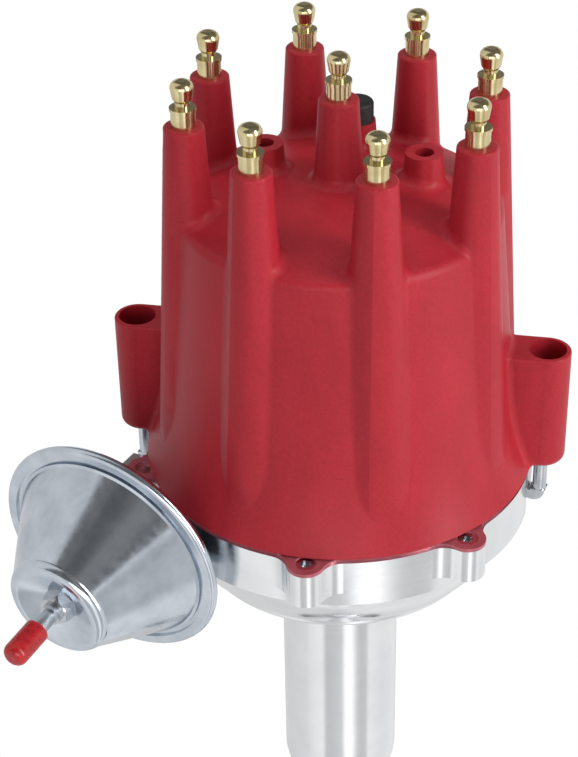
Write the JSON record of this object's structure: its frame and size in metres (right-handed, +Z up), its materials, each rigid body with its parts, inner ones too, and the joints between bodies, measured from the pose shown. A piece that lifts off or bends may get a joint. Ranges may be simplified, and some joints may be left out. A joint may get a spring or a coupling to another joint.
{
  "type": "ignition distributor",
  "caption": "Ignition distributor with a ribbed cap, vacuum advance canister, machined bowl and a gear-driven shaft.",
  "frame": {"origin": "on the shaft axis, at the face of the hold-down flange that seats on the engine block", "axes": "+Z up along the shaft towards the cap, the two cap latches on the X axis, the vacuum canister towards -X and -Y"},
  "size_m": [0.1449, 0.1417, 0.3294],
  "materials": {
    "anodised_aluminium": "machined",
    "red_anodised": "satin",
    "red_moulding": "satin",
    "black_moulding": "satin",
    "turned_brass": "polished",
    "zinc_plated_steel": "plated",
    "ground_steel": "ground",
    "sintered_bronze": "porous",
    "cut_iron": "machined",
    "black_oxide_steel": "black oxide",
    "spring_wire": "drawn",
    "black_rubber": "matt",
    "red_vinyl": "gloss",
    "carbon": "matt",
    "stainless_strip": "bright"
  },
  "bodies": {
    "housing": {"housing": "anodised_aluminium", "lower_bushing": "sintered_bronze", "upper_bushing": "sintered_bronze", "shank_o_ring": "black_rubber", "adapter_plate": "red_anodised", "plate_screws": "zinc_plated_steel", "lead_grommet": "black_rubber", "ignition_module": "black_moulding", "module_screws": "zinc_plated_steel", "plate_retainer": "spring_wire", "thrust_washer": "sintered_bronze", "upper_washer": "sintered_bronze", "can_front_shell": "zinc_plated_steel", "can_rear_shell": "zinc_plated_steel", "diaphragm": "black_rubber", "vacuum_spring": "spring_wire", "can_bracket": "zinc_plated_steel", "bracket_screws": "zinc_plated_steel", "vacuum_nipple": "zinc_plated_steel"},
    "shaft": {"shaft": "ground_steel", "drive_gear": "cut_iron", "gear_pin": "spring_wire", "centre_cam": "black_oxide_steel"},
    "advance": {"advance_base": "zinc_plated_steel", "weight_pins": "ground_steel", "advance_spring_a": "spring_wire", "advance_spring_b": "spring_wire", "reluctor": "cut_iron", "rotor": "red_moulding", "rotor_screws": "zinc_plated_steel", "rotor_blade": "turned_brass", "contact_spring": "stainless_strip"},
    "weight_a": {"advance_weight_a": "zinc_plated_steel"},
    "weight_b": {"advance_weight_b": "zinc_plated_steel"},
    "pickup": {"pickup_plate": "zinc_plated_steel", "pickup_sensor": "black_moulding", "sensor_screws": "zinc_plated_steel", "rod_pin": "ground_steel"},
    "vacuum_rod": {"vacuum_rod": "zinc_plated_steel", "vacuum_piston": "zinc_plated_steel"},
    "cap": {"distributor_cap": "red_moulding", "outer_terminals": "turned_brass", "centre_terminal": "turned_brass", "button_spring": "spring_wire", "right_latch_spring": "spring_wire", "left_latch_spring": "spring_wire"},
    "carbon_button": {"carbon_button": "carbon"},
    "vent_plug": {"vent_plug": "black_rubber"},
    "right_latch_washer": {"right_latch_washer": "zinc_plated_steel"},
    "right_latch": {"right_latch": "zinc_plated_steel"},
    "left_latch_washer": {"left_latch_washer": "zinc_plated_steel"},
    "left_latch": {"left_latch": "zinc_plated_steel"},
    "nipple_cap": {"nipple_cap": "red_vinyl"}
  },
  "joints": [
    {"name": "shaft_spin", "type": "hinge", "parent": "housing", "child": "shaft", "pos_m": [0, 0, 0], "axis": [0, 0, -1], "continuous": true},
    {"name": "advance_turn", "type": "hinge", "parent": "shaft", "child": "advance", "pos_m": [0, 0, 0.14], "axis": [0, 0, -1], "range_deg": [0, 12], "stiffness_Nm_per_rad": 0.35, "deforming": ["advance_spring_a", "advance_spring_b"]},
    {"name": "weight_a_swing", "type": "hinge", "parent": "advance", "child": "weight_a", "pos_m": [0.022, 0, 0.15], "axis": [0, 0, -1], "range_deg": [0, 18]},
    {"name": "weight_b_swing", "type": "hinge", "parent": "advance", "child": "weight_b", "pos_m": [-0.022, 0, 0.15], "axis": [0, 0, -1], "range_deg": [0, 18]},
    {"name": "plate_turn", "type": "hinge", "parent": "housing", "child": "pickup", "pos_m": [0, 0, 0.127], "axis": [0, 0, 1], "range_deg": [0, 8], "stiffness_Nm_per_rad": 0.6},
    {"name": "rod_pull", "type": "slide", "parent": "housing", "child": "vacuum_rod", "axis": [-0.3305, -0.9384, -0.1011], "range_m": [0, 0.00531], "deforming": ["vacuum_spring", "diaphragm"]},
    {"name": "cap_lift", "type": "slide", "parent": "housing", "child": "cap", "axis": [0, 0, 1], "range_m": [0, 0.1]},
    {"name": "button_press", "type": "slide", "parent": "cap", "child": "carbon_button", "axis": [0, 0, 1], "range_m": [0, 0.002], "stiffness_N_per_m": 150, "deforming": ["button_spring"]},
    {"name": "vent_plug_pull", "type": "slide", "parent": "cap", "child": "vent_plug", "axis": [0, 0, 1], "range_m": [0, 0.015]},
    {"name": "right_latch_press", "type": "slide", "parent": "cap", "child": "right_latch_washer", "axis": [0, 0, -1], "range_m": [0, 0.003], "stiffness_N_per_m": 1200, "deforming": ["right_latch_spring"]},
    {"name": "right_latch_turn", "type": "hinge", "parent": "right_latch_washer", "child": "right_latch", "pos_m": [0.0544, 0, 0.14], "axis": [0, 0, 1], "range_deg": [0, 50]},
    {"name": "left_latch_press", "type": "slide", "parent": "cap", "child": "left_latch_washer", "axis": [0, 0, -1], "range_m": [0, 0.003], "stiffness_N_per_m": 1200, "deforming": ["left_latch_spring"]},
    {"name": "left_latch_turn", "type": "hinge", "parent": "left_latch_washer", "child": "left_latch", "pos_m": [-0.0544, 0, 0.14], "axis": [0, 0, 1], "range_deg": [0, 50]},
    {"name": "nipple_cap_pull", "type": "slide", "parent": "housing", "child": "nipple_cap", "axis": [-0.3305, -0.9384, -0.1011], "range_m": [0, 0.03]}
  ],
  "couplings": [
    {"joint": "weight_a_swing", "follows": "advance_turn", "ratio": 1.5},
    {"joint": "weight_b_swing", "follows": "advance_turn", "ratio": 1.5},
    {"joint": "rod_pull", "follows": "plate_turn", "m_per_rad": 0.037282}
  ]
}
